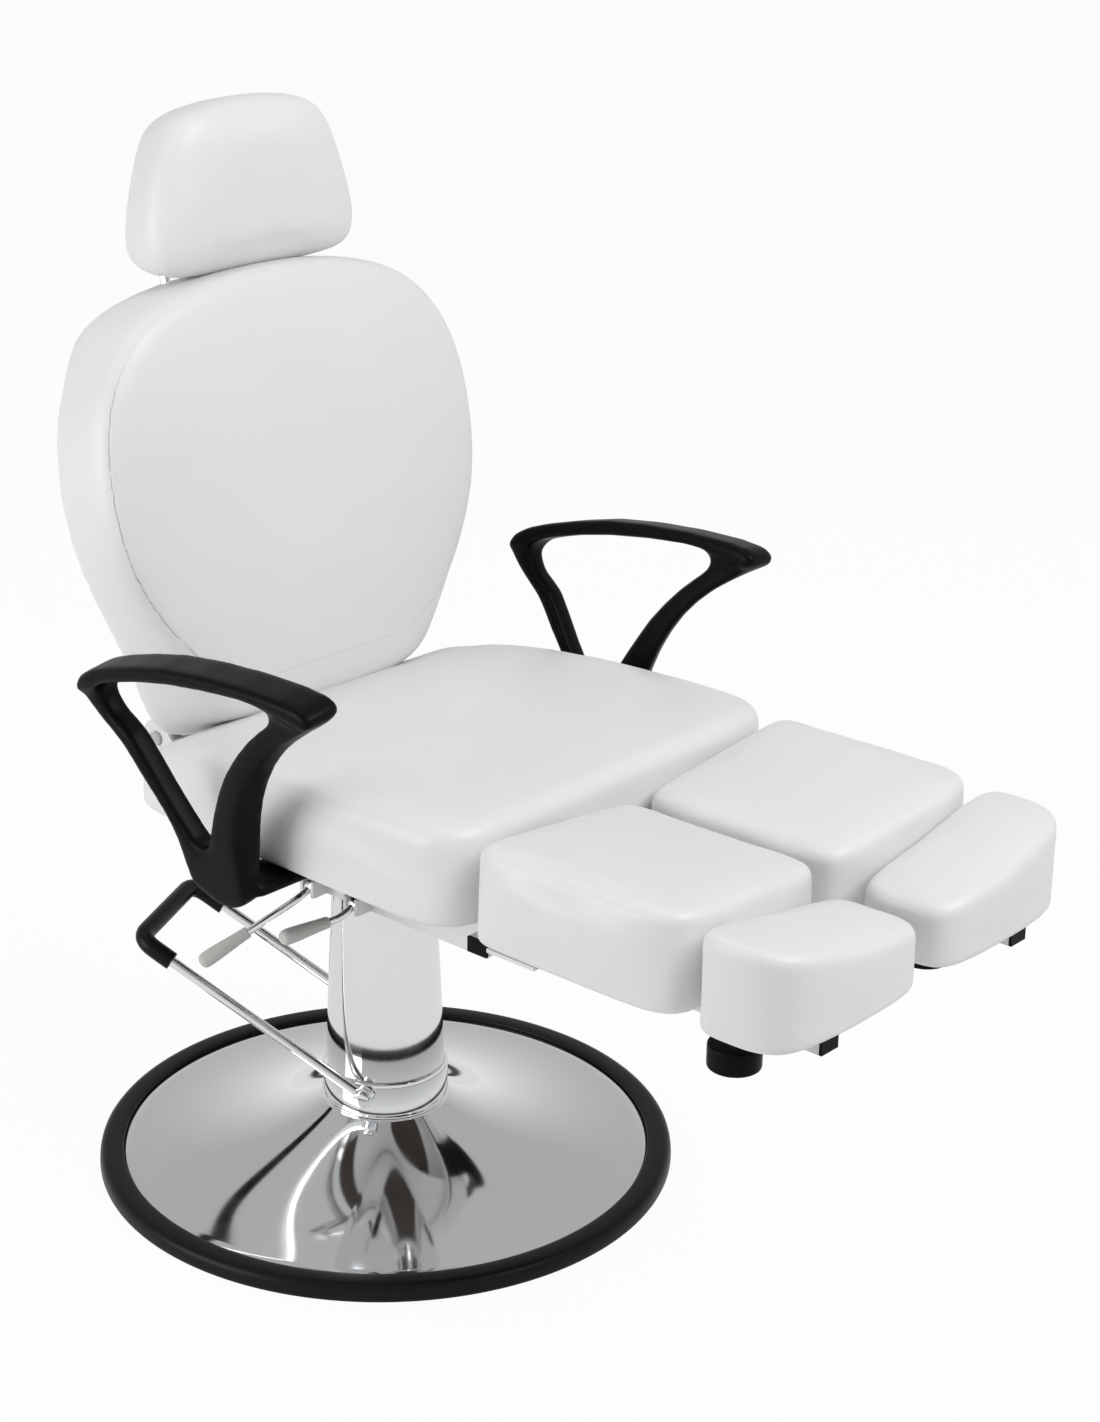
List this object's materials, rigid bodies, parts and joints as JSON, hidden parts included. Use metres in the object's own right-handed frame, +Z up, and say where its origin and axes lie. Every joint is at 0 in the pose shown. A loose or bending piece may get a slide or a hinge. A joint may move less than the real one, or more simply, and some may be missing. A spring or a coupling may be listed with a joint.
{
  "type": "pedicure chair",
  "caption": "Padded pedicure chair on a pump column and round base, with loop arms, a reclining back, a headrest, hinged leg rests and sliding foot pads.",
  "frame": {"origin": "on the floor, on the column's axis, at the middle of the round base", "axes": "+Z up; the chair faces -Y, and its right-hand side, with the release levers, is -X"},
  "size_m": [0.717, 1.0551, 1.1804],
  "materials": {
    "chrome": "polished",
    "bright_steel": "satin",
    "white_steel": "satin",
    "black_plastic": "satin",
    "black_rubber": "matte",
    "grey_plastic": "satin",
    "white_leatherette": "satin",
    "plywood": "matte"
  },
  "bodies": {
    "base": {"floor_plate": "bright_steel", "base_rim": "black_rubber", "base_cover": "chrome", "pump_cylinder": "bright_steel", "neck_collar": "chrome", "column_sleeve": "chrome", "guide_ring": "black_plastic"},
    "pedal": {"pedal_frame": "chrome", "pedal_grip": "black_rubber"},
    "lift": {"lift_ram": "chrome", "swivel_bearing": "bright_steel"},
    "seat": {"swivel_hub": "bright_steel", "seat_crossbar": "white_steel", "side_plate_right": "white_steel", "side_plate_left": "white_steel", "leg_hinge_tube": "white_steel", "hinge_tube_plug_right": "black_plastic", "hinge_tube_plug_left": "black_plastic", "leg_hinge_rod": "bright_steel", "seat_board": "plywood", "seat_cushion": "white_leatherette", "arm_right": "black_plastic", "arm_left": "black_plastic", "arm_bolt_right_front": "bright_steel", "arm_bolt_right_rear": "bright_steel", "arm_bolt_left_front": "bright_steel", "arm_bolt_left_rear": "bright_steel", "gas_spring_cylinder": "black_plastic", "back_hinge_rod": "bright_steel"},
    "back": {"back_crank": "bright_steel", "back_arm_right": "bright_steel", "back_arm_left": "bright_steel", "back_board": "plywood", "back_cushion": "white_leatherette", "headrest_guide": "black_plastic"},
    "headrest": {"headrest_rod": "chrome", "headrest_bracket": "white_steel", "headrest_board": "plywood", "headrest_cushion": "white_leatherette"},
    "spring_rod": {"gas_spring_rod": "chrome"},
    "leg_right": {"leg_frame_right": "white_steel", "leg_board_right": "plywood", "leg_cushion_right": "white_leatherette"},
    "leg_left": {"leg_frame_left": "white_steel", "leg_board_left": "plywood", "leg_cushion_left": "white_leatherette"},
    "foot_right": {"foot_rail_right": "bright_steel", "foot_board_right": "plywood", "foot_cushion_right": "white_leatherette", "rail_plug_right": "black_plastic"},
    "foot_left": {"foot_rail_left": "bright_steel", "foot_board_left": "plywood", "foot_cushion_left": "white_leatherette", "rail_plug_left": "black_plastic"},
    "knob_right": {"clamp_knob_right": "black_plastic"},
    "knob_left": {"clamp_knob_left": "black_plastic"},
    "back_lever": {"back_lever": "chrome", "back_lever_grip": "grey_plastic"},
    "leg_lever": {"leg_lever": "chrome", "leg_lever_grip": "grey_plastic"}
  },
  "joints": [
    {"name": "pedal_press", "type": "hinge", "parent": "base", "child": "pedal", "pos_m": [0, 0, 0.1043], "axis": [-0.8988, -0.4384, 0], "range_deg": [0, 22], "stiffness_Nm_per_rad": 6, "springref_deg": -20.05},
    {"name": "seat_lift", "type": "slide", "parent": "base", "child": "lift", "axis": [0, 0, 1], "range_m": [0, 0.15]},
    {"name": "seat_swivel", "type": "hinge", "parent": "lift", "child": "seat", "pos_m": [0, 0, 0.4], "axis": [0, 0, 1], "continuous": true},
    {"name": "back_recline", "type": "hinge", "parent": "seat", "child": "back", "pos_m": [0, 0.198, 0.498], "axis": [-1, 0, 0], "range_deg": [0, 65]},
    {"name": "headrest_height", "type": "slide", "parent": "back", "child": "headrest", "axis": [0, 0.1822, 0.9833], "range_m": [0, 0.08]},
    {"name": "gas_spring_travel", "type": "slide", "parent": "seat", "child": "spring_rod", "axis": [0, -1, 0], "range_m": [0, 0.08]},
    {"name": "right_leg_swing", "type": "hinge", "parent": "seat", "child": "leg_right", "pos_m": [-0.155, -0.392, 0.4475], "axis": [1, 0, 0], "range_deg": [0, 66]},
    {"name": "left_leg_swing", "type": "hinge", "parent": "seat", "child": "leg_left", "pos_m": [0.155, -0.392, 0.4475], "axis": [1, 0, 0], "range_deg": [0, 66]},
    {"name": "right_foot_slide", "type": "slide", "parent": "leg_right", "child": "foot_right", "axis": [0, -1, 0], "range_m": [0, 0.09]},
    {"name": "left_foot_slide", "type": "slide", "parent": "leg_left", "child": "foot_left", "axis": [0, -1, 0], "range_m": [0, 0.09]},
    {"name": "right_knob_turn", "type": "hinge", "parent": "leg_right", "child": "knob_right", "pos_m": [-0.155, -0.61, 0.41], "axis": [0, 0, 1], "continuous": true},
    {"name": "left_knob_turn", "type": "hinge", "parent": "leg_left", "child": "knob_left", "pos_m": [0.155, -0.61, 0.41], "axis": [0, 0, 1], "continuous": true},
    {"name": "back_lever_pull", "type": "hinge", "parent": "seat", "child": "back_lever", "pos_m": [-0.166, -0.06, 0.403], "axis": [0, 1, 0], "range_deg": [0, 12]},
    {"name": "leg_lever_pull", "type": "hinge", "parent": "seat", "child": "leg_lever", "pos_m": [-0.166, -0.125, 0.403], "axis": [0, 1, 0], "range_deg": [0, 12]}
  ],
  "couplings": [
    {"joint": "gas_spring_travel", "follows": "back_recline", "m_per_rad": 0.0696}
  ]
}
